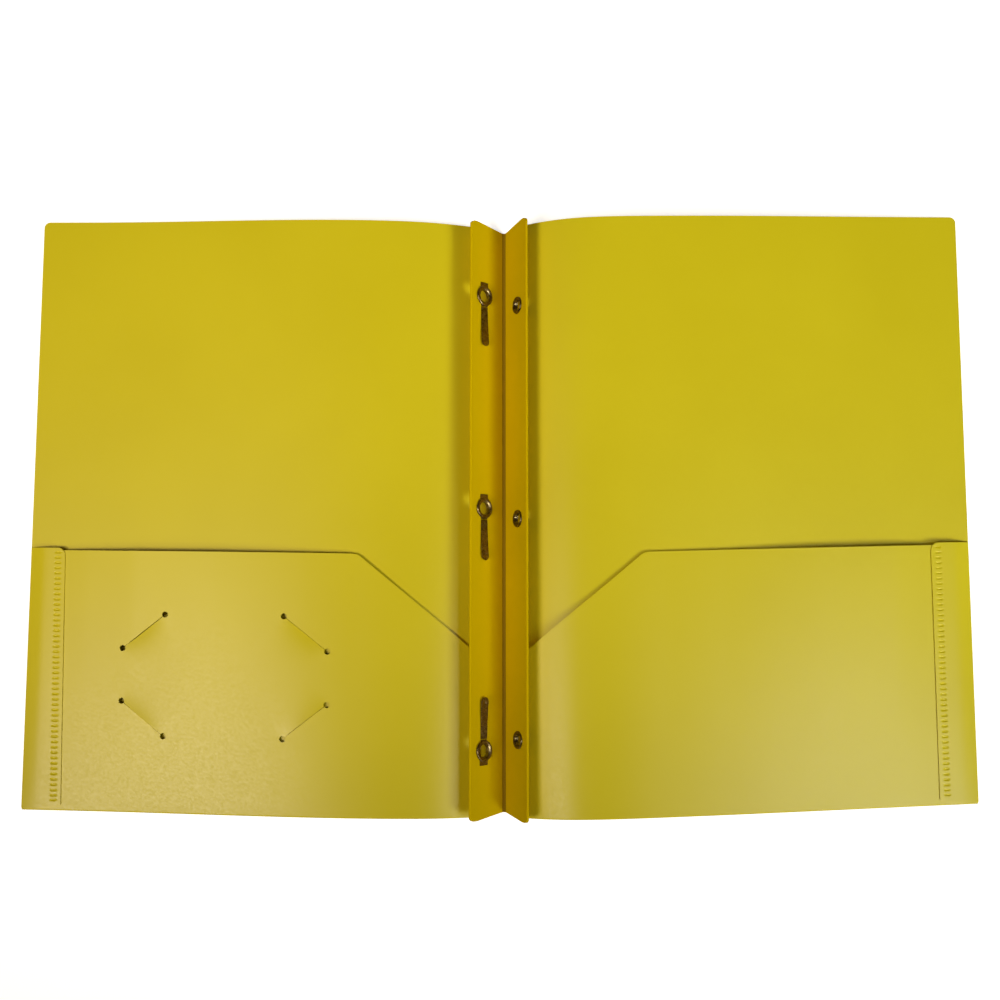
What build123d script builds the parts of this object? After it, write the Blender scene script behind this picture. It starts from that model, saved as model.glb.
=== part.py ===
from build123d import *
import os
from math import cos, degrees, hypot, atan2, radians, sin

# A two pocket folder lying open: a polypropylene sheet, die-cut and creased into covers, pockets
# and a spine gusset of two doubled flanges, with three metal tang fasteners along the gusset.
# X runs across the open folder, Y up the page and Z up from the table. Lengths are in millimetres
# and angles in degrees. A side of -1 is the front cover, on the left, and +1 the back cover.

# Sheet, the room left where a panel swings past a crease, and how far cuts run past their faces
sheet = 0.5
swing_clearance = 0.3
overrun = 10.0

# Covers, measured from the crease at the spine
cover_width = 235.0
cover_height = 298.0
cover_corner_radius = 3.0
cover_trim_run = 7.0

# Spine gusset: flanges that stand in a V, and the gaps between faces when the folder is shut. Both
# ends of the spine are trimmed in a shallow notch that runs out on the flanges and the covers.
flange_width = 22.0
flange_ply_gap = 0.3
flange_corner_radius = 3.0
spine_end_trim = 2.3
flange_trim_rise = 17.0
flange_face_gap = 2.2
cover_face_gap = 2.1
back_lean_angle = 63.0
front_lean_angle = 45.0
back_bend_angle = 20.0

# Pockets, folded up from the bottom edge, with the mouth cut down towards the spine
pocket_depth = 128.0
pocket_gap = 0.6
pocket_spine_inset = 8.0
pocket_edge_clearance = 0.3
mouth_corner_distance = 69.0
mouth_corner_radius = 6.0
mouth_drop = 49.5

# Side tabs, folded in from the outer edge over the pocket and welded to it by a row of teeth
tab_width = 18.2
tab_base_width = 19.8
tab_rise = 1.2
tab_bottom_gap = 1.5
tab_corner_radius = 4.0
tooth_length = 3.5
tooth_width = 1.3
tooth_spacing = 2.6
tooth_depth = 0.25
tooth_inset = 2.0
tooth_end_margin = 2.0

# Card slits in the front pocket, across the corners of a business card
card_width = 89.0
card_height = 51.0
card_edge_distance = 101.0
card_base_distance = 67.0
slit_run = 21.4
slit_rise = 16.8
slit_inset_across = 4.0
slit_inset_up = 4.2
slit_width = 0.25
slit_hole_diameter = 3.0

# Fasteners: the spacing of three-hole paper, how far below the page's middle they sit, and their
# height up the flange from the valley
fastener_spacing = 108.0
fastener_drop = 2.5
fastener_height = 13.0
eyelet_hole_clearance = 0.1

# Tangs, clinched to the front flange by their eyelets
tang_width = 5.0
tang_neck_width = 4.2
tang_thickness = 0.4
tang_washer_diameter = 9.6
tang_bend_distance = 5.4
tang_tab_length = 7.0
tang_blade_length = 20.5
tang_lift = 0.15
tang_bend_gap = 0.35
tang_dimple_diameter = 1.6
tang_dimple_depth = 0.2
tang_dimple_distance = 3.0
tang_eyelet_bore = 6.4
tang_eyelet_wall = 0.35
tang_eyelet_rim = 10.4
tang_eyelet_tail = 9.0

# Paper eyelets in the back flange, which the tangs pass through
paper_eyelet_bore = 5.6
paper_eyelet_wall = 0.35
paper_eyelet_rim = 8.8
paper_eyelet_tail = 8.0

# Rolled rims of all the eyelets
rim_height = 0.7
tail_height = 0.6
rim_lip = 0.25

# Turns of the sheet, in degrees
quarter_turn_angle = 90.0
half_turn_angle = 180.0

# Sizes that follow from the ones above
half_height = cover_height / 2
spine_half = half_height - spine_end_trim
flange_thickness = 2 * sheet + flange_ply_gap
spine_radius = flange_face_gap / 2
crease_radius = cover_face_gap / 2
valley_height = spine_radius + sheet
crease_height = crease_radius + sheet
crease_depth = spine_radius + flange_thickness + crease_radius
pocket_fold_radius = pocket_gap / 2 + sheet
flap_height = sheet + pocket_gap
tab_height = flap_height + sheet
side_fold_radius = (tab_height + sheet) / 2
fold_start = cover_width - side_fold_radius
flap_edge = fold_start - pocket_edge_clearance
pocket_base = pocket_fold_radius - half_height
mouth = pocket_depth - half_height
tab_top = mouth + tab_rise
tab_base = tab_bottom_gap - half_height
tab_middle = (tab_top + tab_base) / 2
tab_length = tab_top - tab_base
tab_edge = cover_width - tab_width
tab_base_edge = cover_width - tab_base_width

# The three fasteners: name, place up the page, and which way the tang points along the spine
fasteners = (
    ("top", fastener_spacing - fastener_drop, -1),
    ("middle", -fastener_drop, -1),
    ("bottom", -fastener_spacing - fastener_drop, 1),
)


def crease_rise(lean):
    """From the valley's axis to a cover crease's axis, along the flange."""
    drop = crease_height - valley_height + crease_depth * cos(radians(lean))
    return drop / sin(radians(lean))


def crease_offset(lean):
    """From the valley's axis to a cover crease's axis, across the folder."""
    return crease_rise(lean) * cos(radians(lean)) + crease_depth * sin(radians(lean))


valley_x = (crease_offset(front_lean_angle) - crease_offset(back_lean_angle)) / 2


def panel_plane(side, lean, height):
    """Plane over a cover: x runs out from its crease, y up the page. Up is side times its normal."""
    crease_x = valley_x + side * crease_offset(lean)
    return Plane(origin=(crease_x, 0, height), x_dir=(side, 0, 0), z_dir=(0, 0, side))


def flange_section_plane(side, lean):
    """Plane across the spine at the valley's axis: x runs up the flange, y towards its cover."""
    up_flange = (side * cos(radians(lean)), 0, sin(radians(lean)))
    return Plane(origin=(valley_x, 0, valley_height), x_dir=up_flange, z_dir=(0, side, 0))


def flange_face_plane(side, lean):
    """Plane of a flange's face inside the V: y runs up the flange, and its normal into the V."""
    section = flange_section_plane(side, lean)
    origin = section.from_local_coords((0, spine_radius, 0))
    return Plane(origin=origin, x_dir=(0, -side, 0), z_dir=-section.y_dir)


def fastener_plane(side, lean, place, depth=0):
    """Plane on a flange's inner face at one fastener, depth below that face."""
    face = flange_face_plane(side, lean)
    origin = face.from_local_coords((-side * place, fastener_height, -depth))
    return Plane(origin=origin, x_dir=face.x_dir, z_dir=face.z_dir)


def bent_strip(plane, inner_radius, start, sweep):
    """Cross-section of the sheet bent round a centre."""
    with BuildSketch(plane) as section:
        with BuildLine():
            inner = CenterArc((0, 0), inner_radius, start, sweep)
            outer = CenterArc((0, 0), inner_radius + sheet, start, sweep)
            Line(inner @ 0, outer @ 0)
            Line(inner @ 1, outer @ 1)
        make_face()
    return section.sketch


def save(builder, name):
    """Label a finished piece and write it."""
    builder.part.label = name
    export_step(builder.part, f"parts/{name}.step")


def make_cover(name, side, lean):
    """Flat cover panel, trimmed at the spine and cut back where the pocket and side tab fold over."""
    with BuildPart() as cover:
        with BuildSketch(panel_plane(side, lean, 0)) as outline:
            with BuildLine():
                Polyline(
                    (0, -spine_half),
                    (cover_trim_run, -half_height),
                    (pocket_spine_inset, -half_height),
                    (pocket_spine_inset, pocket_base),
                    (fold_start, pocket_base),
                    (fold_start, tab_top),
                    (cover_width, tab_top),
                    (cover_width, half_height),
                    (cover_trim_run, half_height),
                    (0, spine_half),
                    close=True,
                )
            make_face()
            top_corner = outline.vertices().sort_by_distance((cover_width, half_height))[0]
            fillet(top_corner, cover_corner_radius)
        extrude(amount=side * sheet)
    save(cover, f"{name}_cover")


def make_cover_crease(name, side, lean):
    """Rolled edge of a cover at the spine, as far round as its flange leaves free."""
    room = back_bend_angle + degrees(swing_clearance / crease_radius)
    sweep = half_turn_angle - lean - room
    crease_x = valley_x + side * crease_offset(lean)
    section = Plane(origin=(crease_x, 0, crease_height), x_dir=(side, 0, 0), z_dir=(0, -side, 0))
    with BuildPart() as crease:
        strip = bent_strip(section, crease_radius, -quarter_turn_angle - sweep, sweep)
        extrude(strip, amount=spine_half, both=True)
    save(crease, f"{name}_cover_crease")


def card_slits():
    """Middle, angle and ends of each card slit, on the front cover's plane."""
    middle_x = cover_width - card_edge_distance
    middle_y = card_base_distance - half_height
    for across in (-1, 1):
        for up in (-1, 1):
            x = middle_x + across * (card_width / 2 - slit_inset_across)
            y = middle_y + up * (card_height / 2 - slit_inset_up)
            run, rise = slit_run / 2, -across * up * slit_rise / 2
            yield (x, y), degrees(atan2(rise, run)), [(x - run, y - rise), (x + run, y + rise)]


def make_pocket(name, side, lean, with_slits):
    """Pocket flap over a cover, its mouth sloping down to the spine."""
    with BuildPart() as pocket:
        with BuildSketch(panel_plane(side, lean, flap_height)) as outline:
            with BuildLine():
                Polyline(
                    (pocket_spine_inset, pocket_base),
                    (flap_edge, pocket_base),
                    (flap_edge, mouth),
                    (mouth_corner_distance, mouth),
                    (pocket_spine_inset, mouth - mouth_drop),
                    close=True,
                )
            make_face()
            turn = outline.vertices().sort_by_distance((mouth_corner_distance, mouth))[0]
            fillet(turn, mouth_corner_radius)
            for centre, angle, ends in card_slits() if with_slits else ():
                with Locations(centre):
                    SlotCenterToCenter(
                        hypot(slit_run, slit_rise), slit_width, rotation=angle, mode=Mode.SUBTRACT
                    )
                with Locations(*ends):
                    Circle(slit_hole_diameter / 2, mode=Mode.SUBTRACT)
        extrude(amount=side * sheet)
    save(pocket, f"{name}_pocket")


def make_pocket_fold(name, side, lean):
    """Half-round fold at the bottom edge, from the cover up to the pocket."""
    middle_x = valley_x + side * (crease_offset(lean) + (pocket_spine_inset + flap_edge) / 2)
    section = Plane(
        origin=(middle_x, pocket_base, pocket_fold_radius), x_dir=(0, 1, 0), z_dir=(1, 0, 0)
    )
    reach = (flap_edge - pocket_spine_inset) / 2
    with BuildPart() as fold:
        strip = bent_strip(section, pocket_gap / 2, quarter_turn_angle, half_turn_angle)
        extrude(strip, amount=reach, both=True)
    save(fold, f"{name}_pocket_fold")


def make_side_fold(name, side, lean):
    """Half-round fold at the outer edge, from the cover over to the side tab."""
    edge_x = valley_x + side * (crease_offset(lean) + fold_start)
    section = Plane(
        origin=(edge_x, tab_middle, side_fold_radius), x_dir=(side, 0, 0), z_dir=(0, -side, 0)
    )
    with BuildPart() as fold:
        inner_radius = side_fold_radius - sheet
        strip = bent_strip(section, inner_radius, -quarter_turn_angle, half_turn_angle)
        extrude(strip, amount=tab_length / 2, both=True)
    save(fold, f"{name}_side_fold")


def make_side_tab(name, side, lean):
    """Side tab lying on the pocket, with the grooves that the weld's teeth press into it."""
    tooth_count = int((tab_length - 2 * tooth_end_margin) / tooth_spacing)
    tooth_x = (tab_edge + tab_base_edge) / 2 + tooth_inset + tooth_length / 2
    taper = degrees(atan2(tab_base_edge - tab_edge, tab_length))
    tooth_row = Location((tooth_x, tab_middle, 0), (0, 0, taper))
    with BuildPart() as tab:
        with BuildSketch(panel_plane(side, lean, tab_height)) as outline:
            with BuildLine():
                Polyline(
                    (fold_start, tab_base),
                    (fold_start, tab_top),
                    (tab_edge, tab_top),
                    (tab_base_edge, tab_base),
                    close=True,
                )
            make_face()
            corners = outline.vertices()
            for corner in ((tab_edge, tab_top), (tab_base_edge, tab_base)):
                fillet(corners.sort_by_distance(corner)[0], tab_corner_radius)
        extrude(amount=side * sheet)
        with BuildSketch(panel_plane(side, lean, tab_height + sheet)):
            with Locations(tooth_row):
                with GridLocations(tooth_length, tooth_spacing, 1, tooth_count):
                    Rectangle(tooth_length, tooth_width)
        extrude(amount=-side * tooth_depth, mode=Mode.SUBTRACT)
    save(tab, f"{name}_side_tab")


def make_flange(name, side, lean, hole_diameter):
    """Doubled flange: two plies joined by the fold at the crest, pierced for its eyelets."""
    inner_face = spine_radius
    inner_back = inner_face + sheet
    outer_back = inner_back + flange_ply_gap
    outer_face = outer_back + sheet
    ply_middle = (inner_face + outer_face) / 2
    crest_start = flange_width - flange_thickness / 2
    outer_start = crease_rise(lean)
    with BuildPart() as flange:
        with BuildSketch(flange_section_plane(side, lean)):
            with BuildLine():
                Polyline(
                    (crest_start, outer_face),
                    (outer_start, outer_face),
                    (outer_start, outer_back),
                    (crest_start, outer_back),
                    (crest_start, inner_back),
                    (0, inner_back),
                    (0, inner_face),
                    (crest_start, inner_face),
                )
                crest = (flange_width, ply_middle)
                ThreePointArc((crest_start, inner_face), crest, (crest_start, outer_face))
            make_face()
        extrude(amount=half_height, both=True)
        with BuildSketch(flange_face_plane(side, lean)) as outline:
            with BuildLine():
                Polyline(
                    (-spine_half, 0),
                    (-half_height, flange_trim_rise),
                    (-half_height, flange_width),
                    (half_height, flange_width),
                    (half_height, flange_trim_rise),
                    (spine_half, 0),
                    close=True,
                )
            make_face()
            fillet(outline.vertices().group_by(Axis.Y)[-1], flange_corner_radius)
        extrude(amount=overrun, both=True, mode=Mode.INTERSECT)
        with BuildSketch(flange_face_plane(side, lean)):
            for fastener, place, points in fasteners:
                shift = points * tang_bend_distance if side < 0 else 0
                with Locations((-side * place - shift, fastener_height)):
                    Circle(hole_diameter / 2)
        extrude(amount=overrun, both=True, mode=Mode.SUBTRACT)
    save(flange, f"{name}_flange")


def make_spine_crease(lean):
    """Rounded floor of the valley, carried by the back flange as far as the front one leaves free."""
    room = back_bend_angle + degrees(swing_clearance / spine_radius)
    sweep = back_lean_angle + front_lean_angle - room
    with BuildPart() as crease:
        section = flange_section_plane(1, lean)
        strip = bent_strip(section, spine_radius, quarter_turn_angle, sweep)
        extrude(strip, amount=spine_half, both=True)
    save(crease, "spine_crease")


def make_eyelet(name, seat, grip, bore, wall, rim, tail):
    """Hollow eyelet, rolled over at both ends, gripping everything from its seat plane down."""
    bore_radius = bore / 2
    barrel_radius = bore_radius + wall
    crown_radius = (bore_radius + rim / 2) / 2
    section = Plane(origin=seat.origin, x_dir=seat.x_dir, z_dir=-seat.y_dir)
    with BuildPart() as eyelet:
        with BuildSketch(section):
            with BuildLine():
                Polyline(
                    (bore_radius, rim_lip),
                    (crown_radius, rim_height),
                    (rim / 2, 0),
                    (barrel_radius, 0),
                    (barrel_radius, -grip),
                    (tail / 2, -grip),
                    (bore_radius, -grip - tail_height),
                    close=True,
                )
            make_face()
        revolve(axis=Axis(seat.origin, seat.z_dir))
    save(eyelet, name)


def make_tang_base(name, plane, points):
    """Clinched end of a tang: its washer, the short tab behind it and the stub up to the bend."""
    hole_radius = tang_eyelet_bore / 2 + tang_eyelet_wall + eyelet_hole_clearance
    with BuildPart() as base:
        with BuildSketch(plane):
            Circle(tang_washer_diameter / 2)
            with Locations((-points * tang_tab_length / 2, 0)):
                Rectangle(tang_tab_length, tang_width)
            with Locations((points * tang_bend_distance / 2, 0)):
                Rectangle(tang_bend_distance, tang_neck_width)
            Circle(hole_radius, mode=Mode.SUBTRACT)
        extrude(amount=tang_thickness)
    save(base, name)


def make_tang_blade(name, plane, points):
    """Free blade of a tang, lying just clear of the flange, with a round tip and a dimple."""
    start = tang_bend_distance + tang_bend_gap
    tip = tang_bend_distance + tang_blade_length - tang_width / 2
    with BuildPart() as blade:
        with BuildSketch(plane.offset(tang_lift)):
            with BuildLine():
                Polyline(
                    (points * start, -tang_neck_width / 2),
                    (points * tip, -tang_width / 2),
                    (points * tip, tang_width / 2),
                    (points * start, tang_neck_width / 2),
                    close=True,
                )
            make_face()
            with Locations((points * tip, 0)):
                Circle(tang_width / 2)
        extrude(amount=tang_thickness)
        with BuildSketch(plane.offset(tang_lift + tang_thickness)):
            with Locations((points * (tip + tang_width / 2 - tang_dimple_distance), 0)):
                Circle(tang_dimple_diameter / 2)
        extrude(amount=-tang_dimple_depth, mode=Mode.SUBTRACT)
    save(blade, name)


os.makedirs("parts", exist_ok=True)

tang_hole = tang_eyelet_bore + 2 * (tang_eyelet_wall + eyelet_hole_clearance)
paper_hole = paper_eyelet_bore + 2 * (paper_eyelet_wall + eyelet_hole_clearance)
sides = (("front", -1, front_lean_angle, tang_hole), ("back", 1, back_lean_angle, paper_hole))

for side_name, side, lean, hole in sides:
    make_cover(side_name, side, lean)
    make_cover_crease(side_name, side, lean)
    make_pocket(side_name, side, lean, with_slits=side < 0)
    make_pocket_fold(side_name, side, lean)
    make_side_fold(side_name, side, lean)
    make_side_tab(side_name, side, lean)
    make_flange(side_name, side, lean, hole)
make_spine_crease(back_lean_angle)

for fastener, place, points in fasteners:
    ring_place = place - points * tang_bend_distance
    ring_plane = fastener_plane(-1, front_lean_angle, ring_place)
    make_tang_base(f"tang_base_{fastener}", ring_plane, points)
    make_tang_blade(f"tang_blade_{fastener}", ring_plane, points)
    make_eyelet(
        f"tang_eyelet_{fastener}",
        ring_plane.offset(tang_thickness),
        tang_thickness + flange_thickness,
        tang_eyelet_bore,
        tang_eyelet_wall,
        tang_eyelet_rim,
        tang_eyelet_tail,
    )
    make_eyelet(
        f"paper_eyelet_{fastener}",
        fastener_plane(1, back_lean_angle, place),
        flange_thickness,
        paper_eyelet_bore,
        paper_eyelet_wall,
        paper_eyelet_rim,
        paper_eyelet_tail,
    )
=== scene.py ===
import math
import bmesh
import bpy
import numpy as np
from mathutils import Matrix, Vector


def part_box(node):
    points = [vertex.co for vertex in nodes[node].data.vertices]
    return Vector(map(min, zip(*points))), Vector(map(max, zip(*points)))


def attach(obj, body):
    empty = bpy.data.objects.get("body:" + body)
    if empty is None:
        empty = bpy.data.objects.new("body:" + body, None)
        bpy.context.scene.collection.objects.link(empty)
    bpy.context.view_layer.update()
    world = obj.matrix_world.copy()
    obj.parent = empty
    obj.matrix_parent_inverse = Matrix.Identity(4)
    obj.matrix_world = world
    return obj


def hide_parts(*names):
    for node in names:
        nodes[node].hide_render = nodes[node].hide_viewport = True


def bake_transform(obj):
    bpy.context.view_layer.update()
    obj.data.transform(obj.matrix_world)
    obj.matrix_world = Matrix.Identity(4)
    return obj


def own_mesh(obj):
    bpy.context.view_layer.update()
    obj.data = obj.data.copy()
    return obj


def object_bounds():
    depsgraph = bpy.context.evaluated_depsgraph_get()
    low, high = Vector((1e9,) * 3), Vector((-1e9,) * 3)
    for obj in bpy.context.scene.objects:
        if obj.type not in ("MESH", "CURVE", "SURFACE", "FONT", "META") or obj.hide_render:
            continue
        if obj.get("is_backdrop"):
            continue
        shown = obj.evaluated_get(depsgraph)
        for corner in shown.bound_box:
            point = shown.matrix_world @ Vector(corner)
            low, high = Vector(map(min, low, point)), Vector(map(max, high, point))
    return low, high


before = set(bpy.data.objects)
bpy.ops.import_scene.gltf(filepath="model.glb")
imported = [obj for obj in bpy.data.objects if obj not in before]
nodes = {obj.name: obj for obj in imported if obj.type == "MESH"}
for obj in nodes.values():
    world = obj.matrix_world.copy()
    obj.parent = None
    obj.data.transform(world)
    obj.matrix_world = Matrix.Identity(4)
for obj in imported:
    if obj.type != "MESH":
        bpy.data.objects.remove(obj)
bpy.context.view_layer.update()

# Lengths are in millimetres until a mesh is made. The front cover is on the left, at side -1.
MM = 0.001
SIDES = {"front": -1, "back": 1}
BODY = {"front": "front_cover", "back": "back_cover"}

# How each cover lies: its height over the table at distances out from its crease, and how far its
# outer end has slid up the page for each millimetre across
BOW = {
    "front": (
        (0, 0), (12, 3.4), (26, 7.5), (46, 10.6), (72, 11.5),
        (110, 9.7), (148, 6.2), (190, 2.4), (235, 0),
    ),
    "back": (
        (0, 0), (12, 7.4), (22, 11.6), (34, 14.9), (50, 16.3),
        (78, 15.2), (120, 11.8), (171, 6.5), (235, 0),
    ),
}
SLIDE = {"front": 0.0154, "back": 0.0274}

# Distance over which the bow starts at the crease, and how many places of the bow are worked out
CREASE_ROLL = 1.0
BOW_PLACES = 6000

# How far each pocket stands off its cover at the mouth, at distances out from the crease, and the
# power by which that grows from the pocket's base to its mouth
STAND_OFF = {
    "front": (
        (8, 0.3), (40, 0.3), (69, 0.9), (95, 2.2), (140, 3.8),
        (180, 3.9), (205, 2.6), (217, 1.7), (228, 1.3), (235, 0),
    ),
    "back": (
        (8, 2.4), (20, 1.2), (40, 0.4), (80, 0.3), (110, 0.9),
        (155, 2.8), (195, 3.1), (212, 2.2), (228, 1.4), (235, 0),
    ),
}
LIFT_POWER = 0.8

# Where the sheets are cut across so that they can bend: runs out from the crease, each with its start,
# end and step, the start and step of the run to the outer edge, and the step up a pocket
CUT_RUNS = ((0.2, 1.1, 0.2), (2, 60, 1.5), (60, 222, 2))
EDGE_CUT_START = 222
EDGE_CUT_STEP = 1
POCKET_CUT_STEP = 2

# Tolerances for work on a mesh, in metres and radians
JOIN_DISTANCE = 1e-6
FLAT_ANGLE = 0.001
CUT_DISTANCE = 1e-7

# Side tabs: how far in from the fold's outer edge they reach at the top and at the base, the cut of
# their lower edge, and the grooves pressed into them
TAB_WIDTH = {"front": 18.6, "back": 21.4}
TAB_BASE_WIDTH = {"front": 20.3, "back": 20.5}
TAB_CORNER = 4
TAB_LOWER_CORNER = 1
TAB_MITRE = 1.2
TAB_MITRE_RUN = 7
FOLD_RADIUS = 1.05
TOOTH_INSET = 2.2
TOOTH_LENGTH = 3.1
TOOTH_SPACING = 2.6
TOOTH_HALF_WIDTH = 0.6
TOOTH_DEPTH = 0.45
TOOTH_MARGIN = 2

# Columns of a tab's mesh, as insets from its inner edge: by the edge, over the grooves with a margin on
# each side, and over the plain rest. Its rows divide the grooves' spacing, up to a clearance before the
# row at the end.
EDGE_COLUMNS = (0, 0.6, 1.2)
GROOVE_COLUMN_STEP = 0.3
GROOVE_MARGIN_BEFORE = 0.2
GROOVE_MARGIN_AFTER = 0.3
PLAIN_START = 6.5
PLAIN_COLUMNS = 9
ROWS_PER_TOOTH = 12
LAST_ROW_CLEARANCE = 0.05

# Side fold: how far in its soft edge starts and how much it thins there, and the steps in degrees by
# which its lower end turns the cover's corner
EDGE_REACH = 11
EDGE_THINNING = 0.45
CORNER_STEP = 14
CORNER_STEPS = 6

# Card slits in the front pocket: the card's middle, out from the crease and up the page, the slits'
# middles from there, half their run and rise, and how far, over what reach, the sheet on the card's side
# of a slit is bent out of its plane
CARD_MIDDLE = (134, -82)
SLIT_OFFSET = (40.5, 21.3)
SLIT_HALF = (10.7, 8.4)
SLIT_BEND = 0.8
SLIT_REACH = 5

# Spine gusset: how far each flange leans up from the table, the angle of straight down on a crease, the
# creases' axes and radii, the sheet, half the spine, and a flange's thickness and its fasteners' height
LEAN = {"front": 45, "back": 63}
DOWN = -90
VALLEY = (0.491, 1.6)
VALLEY_RADIUS = 1.1
CREASE_HEIGHT = 1.55
CREASE_RADIUS = 1.05
SHEET = 0.5
SPINE_HALF = 146.7
FASTENER_HEIGHT = 13
FLANGE_THICKNESS = 1.3

# Fasteners: sizes of the tang's blade, measured from the middle of its eyelet, the rows of its mesh, its
# dimple, and the eyelets, whose bore, rim and tail are radii
TANG_THICKNESS = 0.4
BLADE_START = 5.75
BLADE_END = 25.9
BLADE_NECK = 4.2
BLADE_WIDTH = 5.0
BLADE_LIFT = 0.15
BLADE_CURL = 0.9
BLADE_EDGE = 0.12
BLADE_ROWS = 60
TIP_ROWS = 14
TIP_FIRST_ANGLE = 0.08
TIP_LAST_ANGLE = math.pi / 2 - 0.06
DIMPLE_PLACE = 22.9
DIMPLE_RADIUS = 1.1
DIMPLE_DEPTH = 0.28
TANG_EYELET = {"bore": 3.2, "rim": 5.2, "tail": 4.5, "seat": TANG_THICKNESS}
PAPER_EYELET = {"bore": 2.8, "rim": 4.4, "tail": 4.0, "seat": 0}
EYELET_WALL = 0.35
RIM_HEIGHT = 0.75
CROWN_SHARE = 0.22
CROWN_POINTS = 5
LIP_SHARE = 0.3
TAIL_HEIGHT = 0.6

# Sheet: waves a metre of its tone, its gloss and its pressed grain, the grain's depth in metres, and how
# far its roughness varies
TONE_WAVES = 14
GLOSS_WAVES = 900
GRAIN_WAVES = 1500
GRAIN_DEPTH = 0.00006
GRAIN_STRENGTH = 0.25
SHEET_VARIATION = 0.05
SHEET_IOR = 1.5

# Metal: waves a metre of its tarnish and its wear, and how far its roughness varies
TARNISH_WAVES = 500
WEAR_WAVES = 1800
METAL_VARIATION = 0.06

# Where the two ends of a noise lie for colour and for roughness
COLOUR_STOPS = (0.35, 0.65)
ROUGHNESS_STOPS = (0.3, 0.7)

# Table, in metres: half its width and how far it lies below the folder, its grey for the light that falls
# on the folder, and its glow where the camera or a reflection sees it
FLOOR_REACH = 6
FLOOR_HEIGHT = -0.0003
FLOOR_GREY = 0.85
FLOOR_ROUGHNESS = 0.9
FLOOR_GLOSS = 0.1
FLOOR_GLOW = 0.75

# World: the fill that lights the folder, and the backdrop that the camera sees
FILL_COLOUR = (1, 0.68, 0.34, 1)
FILL_STRENGTH = 0.045
BACKDROP_GREY = 0.9

# Camera: lens and sensor in millimetres, tip from straight down in degrees, and the point on the table
# that it looks at and its distance from there in metres
LENS = 42.63
SENSOR_WIDTH = 36
CLIP_START = 0.01
CAMERA_TIP = 5.82
CAMERA_TARGET = (-0.00143, 0.00808, 0)
CAMERA_DISTANCE = 0.6


def spline(points, places):
    """Natural cubic through the points, read at the places."""
    x, y = np.array(points, float).T
    h = np.diff(x)
    count = len(x)
    system = np.eye(count)
    right = np.zeros(count)
    for i in range(1, count - 1):
        system[i, i - 1:i + 2] = h[i - 1], 2 * (h[i - 1] + h[i]), h[i]
        right[i] = 6 * ((y[i + 1] - y[i]) / h[i] - (y[i] - y[i - 1]) / h[i - 1])
    bend = np.linalg.solve(system, right)
    i = np.clip(np.searchsorted(x, places, side="right") - 1, 0, count - 2)
    after, before = places - x[i], x[i + 1] - places
    cubic = (bend[i] * before ** 3 + bend[i + 1] * after ** 3) / (6 * h[i])
    start = (y[i] / h[i] - bend[i] * h[i] / 6) * before
    end = (y[i + 1] / h[i] - bend[i + 1] * h[i] / 6) * after
    return cubic + start + end


class Lie:
    """Carries points of a flat CAD cover onto the gentle bow that the sheet takes on a table."""

    def __init__(self, name):
        self.side = SIDES[name]
        low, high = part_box(name + "_cover")
        self.crease = min(abs(low.x), abs(high.x)) / MM
        self.width = max(abs(low.x), abs(high.x)) / MM - self.crease
        self.slide = SLIDE[name]
        self.out = np.linspace(0, self.width, BOW_PLACES)
        rise = np.gradient(spline(BOW[name], self.out), self.out) * np.minimum(self.out / CREASE_ROLL, 1)
        self.rise = rise - self.sums(rise)[-1] / self.width
        self.level = np.sqrt(np.maximum(1 - self.rise ** 2, 0))
        self.height = self.sums(self.rise)
        self.across = self.sums(self.level)
        self.stand_off = np.interp(self.out, *np.array(STAND_OFF[name]).T)
        low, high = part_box(name + "_pocket")
        self.pocket_base, self.pocket_mouth = low.y / MM, high.y / MM

    def sums(self, values):
        """Running sum of the values along the sheet."""
        step = self.out[1] - self.out[0]
        return np.concatenate([[0], np.cumsum((values[1:] + values[:-1]) / 2 * step)])

    def lift(self, flat):
        """How far points of the pocket stand off the cover: nothing at the fold, most at the mouth."""
        out = self.side * flat[:, 0] - self.crease
        share = np.clip((flat[:, 1] - self.pocket_base) / (self.pocket_mouth - self.pocket_base), 0, 1)
        return np.interp(out, self.out, self.stand_off) * share ** LIFT_POWER

    def slit_bend(self, flat):
        """How far the sheet by the card slits is bent: down below the upper two, up above the lower two."""
        bend = np.zeros(len(flat))
        spot = np.stack([self.side * flat[:, 0] - self.crease, flat[:, 1]], axis=1) - CARD_MIDDLE
        length = math.hypot(*SLIT_HALF)
        for across, up in ((-1, -1), (-1, 1), (1, -1), (1, 1)):
            offset = spot - np.array([across, up]) * SLIT_OFFSET
            along = (offset[:, 0] * SLIT_HALF[0] - across * up * offset[:, 1] * SLIT_HALF[1]) / length
            inward = -(across * offset[:, 0] * SLIT_HALF[1] + up * offset[:, 1] * SLIT_HALF[0]) / length
            share = np.where(np.abs(along) < length, np.cos(along / length * math.pi / 2), 0)
            near = np.where(inward > 0, np.exp(-inward / SLIT_REACH), 0)
            bend -= up * SLIT_BEND * share * near
        return bend

    def soft_edge(self, flat):
        """Heights of points over the flat cover, drawn in where the side fold is pressed flatter."""
        out = self.side * flat[:, 0] - self.crease
        share = np.clip((out - self.width + EDGE_REACH) / EDGE_REACH, 0, 1)
        return flat[:, 2] * (1 - EDGE_THINNING * share ** 2)

    def points(self, flat):
        """Flat points, in millimetres in the CAD frame, as they lie."""
        out = np.clip(self.side * flat[:, 0] - self.crease, 0, self.width)
        past = self.side * flat[:, 0] - self.crease - out
        rise = np.interp(out, self.out, self.rise)
        level = np.interp(out, self.out, self.level)
        across = self.crease + np.interp(out, self.out, self.across) + past - rise * flat[:, 2]
        up = np.interp(out, self.out, self.height) + level * flat[:, 2]
        return np.stack([self.side * across, flat[:, 1] + self.slide * across, up], axis=1)


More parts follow.
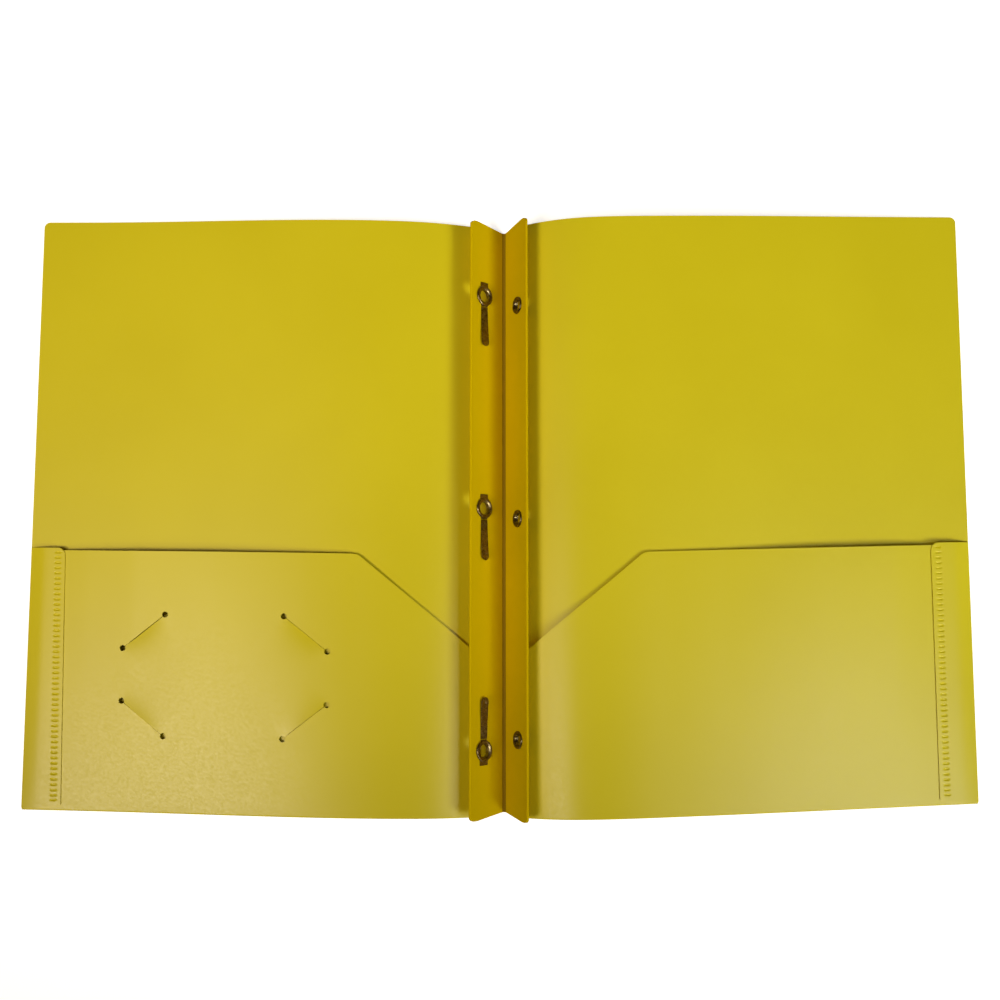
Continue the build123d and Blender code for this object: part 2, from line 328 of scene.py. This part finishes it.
def cad_mesh(node):
    """A copy of a CAD node's mesh to work on, its split vertices joined and its flat faces whole again."""
    mesh = bmesh.new()
    mesh.from_mesh(nodes[node].data)
    bmesh.ops.remove_doubles(mesh, verts=mesh.verts, dist=JOIN_DISTANCE)
    bmesh.ops.dissolve_limit(mesh, angle_limit=FLAT_ANGLE, verts=mesh.verts, edges=mesh.edges)
    return mesh


def groove(inset, along):
    """Depth of the weld's grooves, inset from the tab's inner edge and along from its lower end."""
    across = (inset - TOOTH_INSET - TOOTH_LENGTH / 2) / (TOOTH_LENGTH / 2)
    step = (along - TOOTH_MARGIN) % TOOTH_SPACING - TOOTH_SPACING / 2
    row = max(0, 1 - (step / TOOTH_HALF_WIDTH) ** 2)
    return TOOTH_DEPTH * row * max(0, 1 - across ** 4)


def drawn_in(distance, radius):
    """How far a round corner draws an edge in, at a distance along the edge from its end."""
    left = max(radius - distance, 0)
    return radius - math.sqrt(radius ** 2 - left ** 2)


def tab_mesh(name, lie):
    """Side tab, flat: a sheet with round corners, a slanting lower edge and a row of pressed grooves."""
    low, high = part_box(name + "_side_tab")
    base, top = low.y / MM, high.y / MM
    under, over = low.z / MM, high.z / MM
    length = top - base
    fold = lie.width - FOLD_RADIUS
    width, base_width = TAB_WIDTH[name], TAB_BASE_WIDTH[name]
    pressed_start = TOOTH_INSET - GROOVE_MARGIN_BEFORE
    pressed_end = TOOTH_INSET + TOOTH_LENGTH + GROOVE_MARGIN_AFTER
    pressed = np.arange(pressed_start, pressed_end, GROOVE_COLUMN_STEP)
    plain = np.linspace(PLAIN_START, width - FOLD_RADIUS, PLAIN_COLUMNS)
    insets = np.concatenate([EDGE_COLUMNS, pressed, plain])
    places = np.append(np.arange(0, length - LAST_ROW_CLEARANCE, TOOTH_SPACING / ROWS_PER_TOOTH), length)
    mesh = bmesh.new()
    rows = []
    for along in places:
        edge = lie.width - base_width + (base_width - width) * along / length
        corner = drawn_in(along, TAB_LOWER_CORNER) + drawn_in(length - along, TAB_CORNER)
        slant = TAB_MITRE * max(0, 1 - along / TAB_MITRE_RUN)
        row = []
        for inset in corner + insets / insets[-1] * (fold - edge - corner):
            x = lie.side * (lie.crease + edge + inset)
            y = base + along + slant * (1 - 2 * inset / (fold - edge))
            dent = groove(inset, along) if TOOTH_MARGIN < along < length - TOOTH_MARGIN else 0
            ends = ((x, y, over - dent), (x, y, under))
            row.append([mesh.verts.new(Vector(end) * MM) for end in ends])
        rows.append(row)
    for before, after in zip(rows, rows[1:]):
        for layer in range(2):
            for i in range(len(before) - 1):
                mesh.faces.new((before[i][layer], before[i + 1][layer], after[i + 1][layer], after[i][layer]))
        for i in (0, -1):
            mesh.faces.new((before[i][0], before[i][1], after[i][1], after[i][0]))
    for row in (rows[0], rows[-1]):
        for left, right in zip(row, row[1:]):
            mesh.faces.new((left[0], right[0], right[1], left[1]))
    return mesh


def round_corner(mesh, name, lie):
    """Draws the side fold's lower end on to the bottom edge, narrowing round the cover's corner."""
    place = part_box(name + "_side_fold")[0].y
    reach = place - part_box(name + "_pocket_fold")[0].y
    axis = lie.side * (lie.crease + lie.width - FOLD_RADIUS) * MM
    end = [
        face for face in mesh.faces if all(abs(vertex.co.y - place) < JOIN_DISTANCE for vertex in face.verts)
    ]
    before = 1
    for step in range(1, CORNER_STEPS + 1):
        turn = math.radians(step * CORNER_STEP)
        made = bmesh.ops.extrude_face_region(mesh, geom=end)["geom"]
        bmesh.ops.delete(mesh, geom=[face for face in end if face.is_valid], context="FACES")
        end = [item for item in made if isinstance(item, bmesh.types.BMFace)]
        for vertex in {vertex for face in end for vertex in face.verts}:
            vertex.co.x = axis + (vertex.co.x - axis) * math.cos(turn) / before
            vertex.co.y = place - reach * math.sin(turn)
        before = math.cos(turn)


def cut(mesh, axis, places):
    """Cuts a mesh across an axis at each place, in millimetres, so that it can bend there."""
    direction = Vector((0, 0, 0))
    direction[axis] = 1
    for place in places:
        every = list(mesh.verts) + list(mesh.edges) + list(mesh.faces)
        point = direction * (place * MM)
        bmesh.ops.bisect_plane(mesh, geom=every, dist=CUT_DISTANCE, plane_co=point, plane_no=direction)


def add_piece(name, mesh, material, smooth_angle=40):
    """Makes an object of a finished mesh."""
    bmesh.ops.recalc_face_normals(mesh, faces=mesh.faces)
    data = bpy.data.meshes.new(name)
    for face in mesh.faces:
        face.smooth = True
    mesh.to_mesh(data)
    mesh.free()
    data.set_sharp_from_angle(angle=math.radians(smooth_angle))
    data.materials.append(material)
    piece = bpy.data.objects.new(name, data)
    bpy.context.scene.collection.objects.link(piece)
    return piece


def new_material(name):
    """An empty material: its node tree and its surface shader."""
    material = bpy.data.materials.new(name)
    material.use_nodes = True
    tree = material.node_tree
    return material, tree, tree.nodes["Principled BSDF"]


def noise(tree, scale, detail):
    """Noise in the object's own frame, scale in waves a metre."""
    place = tree.nodes.new("ShaderNodeTexCoord")
    texture = tree.nodes.new("ShaderNodeTexNoise")
    texture.inputs["Scale"].default_value = scale
    texture.inputs["Detail"].default_value = detail
    tree.links.new(place.outputs["Object"], texture.inputs["Vector"])
    return texture.outputs["Fac"]


def ramp(tree, value, stops):
    """Colours or grey levels that follow a value."""
    node = tree.nodes.new("ShaderNodeValToRGB")
    elements = node.color_ramp.elements
    for element, (place, colour) in zip(elements, stops):
        element.position = place
        element.color = colour
    tree.links.new(value, node.inputs["Fac"])
    return node.outputs["Color"]


def grey(level):
    """An opaque grey."""
    return (level, level, level, 1)


def sheet_material(name, light, dark, rough, gloss=0.5):
    """Satin polypropylene with a fine sand grain pressed into it."""
    material, tree, shader = new_material(name)
    colour = ramp(tree, noise(tree, TONE_WAVES, 3), zip(COLOUR_STOPS, (dark, light)))
    tree.links.new(colour, shader.inputs["Base Color"])
    ends = (grey(rough - SHEET_VARIATION), grey(rough + SHEET_VARIATION))
    roughness = ramp(tree, noise(tree, GLOSS_WAVES, 2), zip(ROUGHNESS_STOPS, ends))
    tree.links.new(roughness, shader.inputs["Roughness"])
    bump = tree.nodes.new("ShaderNodeBump")
    bump.inputs["Strength"].default_value = GRAIN_STRENGTH
    bump.inputs["Distance"].default_value = GRAIN_DEPTH
    tree.links.new(noise(tree, GRAIN_WAVES, 2), bump.inputs["Height"])
    tree.links.new(bump.outputs["Normal"], shader.inputs["Normal"])
    shader.inputs["IOR"].default_value = SHEET_IOR
    shader.inputs["Specular IOR Level"].default_value = gloss
    return material


def metal_material(name, light, dark, rough):
    """Nickel-plated steel, a little worn."""
    material, tree, shader = new_material(name)
    shader.inputs["Metallic"].default_value = 1
    colour = ramp(tree, noise(tree, TARNISH_WAVES, 3), zip(COLOUR_STOPS, (dark, light)))
    tree.links.new(colour, shader.inputs["Base Color"])
    ends = (grey(rough - METAL_VARIATION), grey(rough + METAL_VARIATION))
    roughness = ramp(tree, noise(tree, WEAR_WAVES, 3), zip(ROUGHNESS_STOPS, ends))
    tree.links.new(roughness, shader.inputs["Roughness"])
    return material


cover_sheet = sheet_material(
    "cover_sheet", light=(0.79, 0.675, 0.010, 1), dark=(0.765, 0.65, 0.008, 1), rough=0.37
)
# Flanges: the same sheet as the covers in a darker, more orange colour, as painted shade for the V of the
# spine
flange_painted_shade = sheet_material(
    "flange_painted_shade", light=(0.74, 0.53, 0.001, 1), dark=(0.72, 0.51, 0.001, 1), rough=0.46, gloss=0
)
# Creases and the spine's valley: the same sheet darkened, as painted shade for the shadow in the folds
crease_painted_shade = sheet_material(
    "crease_painted_shade", light=(0.34, 0.215, 0.001, 1), dark=(0.31, 0.195, 0.001, 1), rough=0.7, gloss=0.15
)
nickel = metal_material("nickel", light=(0.29, 0.23, 0.12, 1), dark=(0.17, 0.125, 0.055, 1), rough=0.3)

# Covers, pockets, tabs and their folds, bent onto the bow
for name in SIDES:
    lie = Lie(name)
    runs = CUT_RUNS + ((EDGE_CUT_START, lie.width, EDGE_CUT_STEP),)
    places = np.concatenate([np.arange(*run) for run in runs])
    for part in ("cover", "pocket", "pocket_fold", "side_tab", "side_fold"):
        node = f"{name}_{part}"
        if part == "side_tab":
            mesh = tab_mesh(name, lie)
        else:
            mesh = cad_mesh(node)
            if part == "side_fold":
                round_corner(mesh, name, lie)
            low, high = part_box(node)
            near = min(abs(low.x), abs(high.x)) / MM - lie.crease
            far = max(abs(low.x), abs(high.x)) / MM - lie.crease
            cut(mesh, 0, [lie.side * (lie.crease + place) for place in places if near < place < far])
        if part == "pocket":
            cut(mesh, 1, np.arange(lie.pocket_base + POCKET_CUT_STEP, lie.pocket_mouth, POCKET_CUT_STEP))
        flat = np.array([vertex.co for vertex in mesh.verts]) / MM
        if part in ("pocket", "side_tab"):
            flat[:, 2] += lie.lift(flat)
        if node == "front_pocket":
            flat[:, 2] += lie.slit_bend(flat)
        if part in ("pocket", "side_tab", "side_fold"):
            flat[:, 2] = lie.soft_edge(flat)
        for vertex, place in zip(mesh.verts, lie.points(flat)):
            vertex.co = Vector(place * MM)
        piece = add_piece(f"{node}_bowed", mesh, cover_sheet)
        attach(piece, BODY[name])
        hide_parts(node)
        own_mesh(piece)


def crease_strip(name, axis, radius, start, end, steps=18):
    """The sheet rolled round a crease from one angle to another."""
    mesh = bmesh.new()
    rings = []
    for step in range(steps + 1):
        angle = math.radians(start + (end - start) * step / steps)
        ring = []
        for reach, end_side in ((radius, -1), (radius, 1), (radius + SHEET, 1), (radius + SHEET, -1)):
            along = end_side * SPINE_HALF
            x = axis[0] + reach * math.cos(angle)
            z = axis[1] + reach * math.sin(angle)
            ring.append(mesh.verts.new((x * MM, along * MM, z * MM)))
        rings.append(ring)
    for before, after in zip(rings, rings[1:]):
        for i in range(4):
            j = (i + 1) % 4
            mesh.faces.new((before[i], before[j], after[j], after[i]))
    mesh.faces.new(rings[0])
    mesh.faces.new(rings[-1])
    # The rolled strip takes the darkened crease sheet, which is painted shade
    return add_piece(name, mesh, crease_painted_shade)


# Creases, each one strip rolled round between the two panels it joins
for name, side in SIDES.items():
    low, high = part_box(name + "_cover")
    axis = (side * min(abs(low.x), abs(high.x)) / MM, CREASE_HEIGHT)
    cover_angle = DOWN
    flange_angle = DOWN - side * (180 - LEAN[name])
    strip = crease_strip(name + "_hinge", axis, CREASE_RADIUS, cover_angle, flange_angle)
    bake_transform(strip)
    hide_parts(name + "_cover_crease")
valley_ends = (DOWN + LEAN["back"], DOWN - LEAN["front"])
strip = crease_strip("spine_hinge", VALLEY, VALLEY_RADIUS, *valley_ends)
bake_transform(strip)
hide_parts("spine_crease")


def on_flange(name, up, along, off):
    """Point up a flange from the valley, along the page and off its inner face into the V."""
    lean = math.radians(LEAN[name])
    side = SIDES[name]
    depth = VALLEY_RADIUS - off
    x = VALLEY[0] + side * (up * math.cos(lean) + depth * math.sin(lean))
    z = VALLEY[1] + up * math.sin(lean) - depth * math.cos(lean)
    return Vector((x, along, z)) * MM


def skin(mesh, rings, closed):
    """Joins rings of points with faces. Closed rings of rings make a ring, and others get end faces."""
    made = [[mesh.verts.new(point) for point in ring] for ring in rings]
    pairs = list(zip(made, made[1:]))
    if closed:
        pairs.append((made[-1], made[0]))
    else:
        mesh.faces.new(made[0])
        mesh.faces.new(made[-1])
    for before, after in pairs:
        for i in range(len(before)):
            j = (i + 1) % len(before)
            mesh.faces.new((before[i], before[j], after[j], after[i]))


def eyelet(node, flange, sizes, turns=56, arc=9):
    """Hollow eyelet: a rim in the V that slopes into the bore, and a tail rolled over behind the flange."""
    low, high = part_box(node)
    along = (low.y + high.y) / 2 / MM
    bore, rim, tail, seat = sizes["bore"], sizes["rim"], sizes["tail"], sizes["seat"]
    profile = []
    crown = np.linspace(0, CROWN_SHARE, CROWN_POINTS)
    for share in np.concatenate([crown, np.linspace(CROWN_SHARE, 1, arc)[1:]]):
        if share < CROWN_SHARE:
            level = math.sqrt(1 - (1 - share / CROWN_SHARE) ** 2)
        else:
            level = 1 - (1 - LIP_SHARE) * ((share - CROWN_SHARE) / (1 - CROWN_SHARE)) ** 2
        profile.append((rim - (rim - bore) * share, seat + RIM_HEIGHT * level))
    for step in range(arc + 1):
        angle = math.pi * (1 - step / arc)
        reach = (tail + bore) / 2 + (tail - bore) / 2 * math.cos(angle)
        profile.append((reach, -FLANGE_THICKNESS - TAIL_HEIGHT * math.sin(angle)))
    profile.append((bore + EYELET_WALL, -FLANGE_THICKNESS))
    profile.append((bore + EYELET_WALL, seat))
    rings = []
    for turn in range(turns):
        angle = 2 * math.pi * turn / turns
        ring = []
        for reach, off in profile:
            up = FASTENER_HEIGHT + reach * math.sin(angle)
            ring.append(on_flange(flange, up, along + reach * math.cos(angle), off))
        rings.append(ring)
    mesh = bmesh.new()
    skin(mesh, rings, closed=True)
    piece = add_piece(node + "_rolled", mesh, nickel)
    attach(piece, flange + "_flange")
    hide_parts(node)


def blade(place, points, columns=11):
    """Tang's free blade: wider to its round tip, with eased edges, a dimple and a slight curl."""
    low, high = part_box("tang_eyelet_" + place)
    middle = (low.y + high.y) / 2 / MM
    radius = BLADE_WIDTH / 2
    body = np.linspace(BLADE_START, BLADE_END - radius, BLADE_ROWS)
    tip_angles = np.linspace(TIP_FIRST_ANGLE, TIP_LAST_ANGLE, TIP_ROWS)
    tip = BLADE_END - radius + radius * np.sin(tip_angles)
    rings = []
    for reach in np.concatenate([body, tip]):
        share = (reach - BLADE_START) / (BLADE_END - BLADE_START)
        half = (BLADE_NECK + (BLADE_WIDTH - BLADE_NECK) * share) / 2
        if reach > BLADE_END - radius:
            half = math.sqrt(radius ** 2 - (reach - BLADE_END + radius) ** 2)
        under = BLADE_LIFT + BLADE_CURL * share ** 2
        top = under + TANG_THICKNESS
        edge = min(BLADE_EDGE, half / 2)
        section = [(-half + edge, under), (-half, under + edge), (-half, top - edge)]
        for across in np.linspace(-half + edge, half - edge, columns):
            away = math.hypot(across, reach - DIMPLE_PLACE) / DIMPLE_RADIUS
            section.append((across, top - DIMPLE_DEPTH * max(0, 1 - away ** 2)))
        section += [(half, top - edge), (half, under + edge), (half - edge, under)]
        along = middle + points * reach
        rings.append([on_flange("front", FASTENER_HEIGHT + across, along, off) for across, off in section])
    mesh = bmesh.new()
    skin(mesh, rings, closed=False)
    piece = add_piece(f"tang_blade_{place}_curled", mesh, nickel)
    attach(piece, "tang_" + place)
    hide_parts("tang_blade_" + place)


# Fasteners: rolled eyelets and curled blades over the CAD bases
for place, points in (("top", -1), ("middle", -1), ("bottom", 1)):
    eyelet("tang_eyelet_" + place, "front", TANG_EYELET)
    eyelet("paper_eyelet_" + place, "back", PAPER_EYELET)
    blade(place, points)

# Finish of the pieces that are used as the CAD made them: nickel for the fasteners, and for the flanges the
# darker, more orange sheet, which is painted shade
for node, item in nodes.items():
    item.data.materials.clear()
    item.data.materials.append(nickel if node.startswith(("tang", "paper")) else flange_painted_shade)

# Floor: a pale table
floor_data = bpy.data.meshes.new("floor")
corners = ((-1, -1), (1, -1), (1, 1), (-1, 1))
floor_points = [(x * FLOOR_REACH, y * FLOOR_REACH, FLOOR_HEIGHT) for x, y in corners]
floor_data.from_pydata(floor_points, [], [(0, 1, 2, 3)])
floor = bpy.data.objects.new("floor", floor_data)
bpy.context.scene.collection.objects.link(floor)
floor_material, floor_tree, floor_shader = new_material("floor")
light_path = floor_tree.nodes.new("ShaderNodeLightPath")
either = floor_tree.nodes.new("ShaderNodeMath")
either.operation = "MAXIMUM"
floor_tree.links.new(light_path.outputs["Is Camera Ray"], either.inputs[0])
floor_tree.links.new(light_path.outputs["Is Glossy Ray"], either.inputs[1])
seen = either.outputs["Value"]
floor_colour = ramp(floor_tree, seen, ((0, grey(FLOOR_GREY)), (1, grey(1))))
floor_tree.links.new(floor_colour, floor_shader.inputs["Base Color"])
floor_shader.inputs["Roughness"].default_value = FLOOR_ROUGHNESS
floor_shader.inputs["Specular IOR Level"].default_value = FLOOR_GLOSS
floor_shader.inputs["Emission Color"].default_value = (1, 1, 1, 1)
glow = floor_tree.nodes.new("ShaderNodeMath")
glow.operation = "MULTIPLY"
glow.inputs[1].default_value = FLOOR_GLOW
floor_tree.links.new(seen, glow.inputs[0])
floor_tree.links.new(glow.outputs["Value"], floor_shader.inputs["Emission Strength"])
floor_data.materials.append(floor_material)
floor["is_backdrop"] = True


def soft_box(name, place, target, size, power, spread, colour):
    """A square area light aimed at a target, its beam narrowed to a spread in degrees."""
    light = bpy.data.lights.new(name, "AREA")
    light.shape = "SQUARE"
    light.size = size
    light.energy = power
    light.color = colour
    light.spread = math.radians(spread)
    lamp = bpy.data.objects.new(name, light)
    lamp.location = place
    lamp.rotation_mode = "QUATERNION"
    lamp.rotation_quaternion = (Vector(target) - Vector(place)).to_track_quat("-Z", "Y")
    bpy.context.scene.collection.objects.link(lamp)


# Light: a soft box on each side, a small one for the sheen low on the right, and an even fill
soft_box(
    "right_box",
    place=(0.85, -0.54, 0.75),
    target=(0.12, 0.42, 0),
    size=0.4,
    power=1.43,
    spread=60,
    colour=(1, 1, 0.95),
)
soft_box(
    "left_box",
    place=(-0.62, -0.31, 1.0),
    target=(-0.15, 0.12, 0),
    size=0.4,
    power=0.72,
    spread=46,
    colour=(1, 0.88, 0.7),
)
soft_box(
    "sheen_box",
    place=(0.63, -0.30, 0.95),
    target=(0.17, -0.2, 0),
    size=0.3,
    power=0.12,
    spread=38,
    colour=(1, 1, 1),
)
scene = bpy.context.scene
world = bpy.data.worlds.new("studio")
scene.world = world
world.use_nodes = True
world_tree = world.node_tree
fill = world_tree.nodes["Background"]
fill.inputs["Color"].default_value = FILL_COLOUR
fill.inputs["Strength"].default_value = FILL_STRENGTH
backdrop = world_tree.nodes.new("ShaderNodeBackground")
backdrop.inputs["Color"].default_value = grey(BACKDROP_GREY)
backdrop.inputs["Strength"].default_value = 1
choice = world_tree.nodes.new("ShaderNodeMixShader")
world_path = world_tree.nodes.new("ShaderNodeLightPath")
world_tree.links.new(world_path.outputs["Is Camera Ray"], choice.inputs["Fac"])
world_tree.links.new(fill.outputs["Background"], choice.inputs[1])
world_tree.links.new(backdrop.outputs["Background"], choice.inputs[2])
world_tree.links.new(choice.outputs["Shader"], world_tree.nodes["World Output"].inputs["Surface"])
scene.view_settings.view_transform = "Standard"

# Camera: above the page, tipped a little towards its bottom edge
camera_data = bpy.data.cameras.new("camera")
camera_data.sensor_width = SENSOR_WIDTH
camera_data.lens = LENS
camera_data.clip_start = CLIP_START
camera = bpy.data.objects.new("camera", camera_data)
scene.collection.objects.link(camera)
tip = math.radians(CAMERA_TIP)
ahead = Vector((0, math.sin(tip), -math.cos(tip)))
camera.location = Vector(CAMERA_TARGET) - CAMERA_DISTANCE * ahead
camera.rotation_euler = (tip, 0, 0)
scene.camera = camera

low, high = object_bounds()
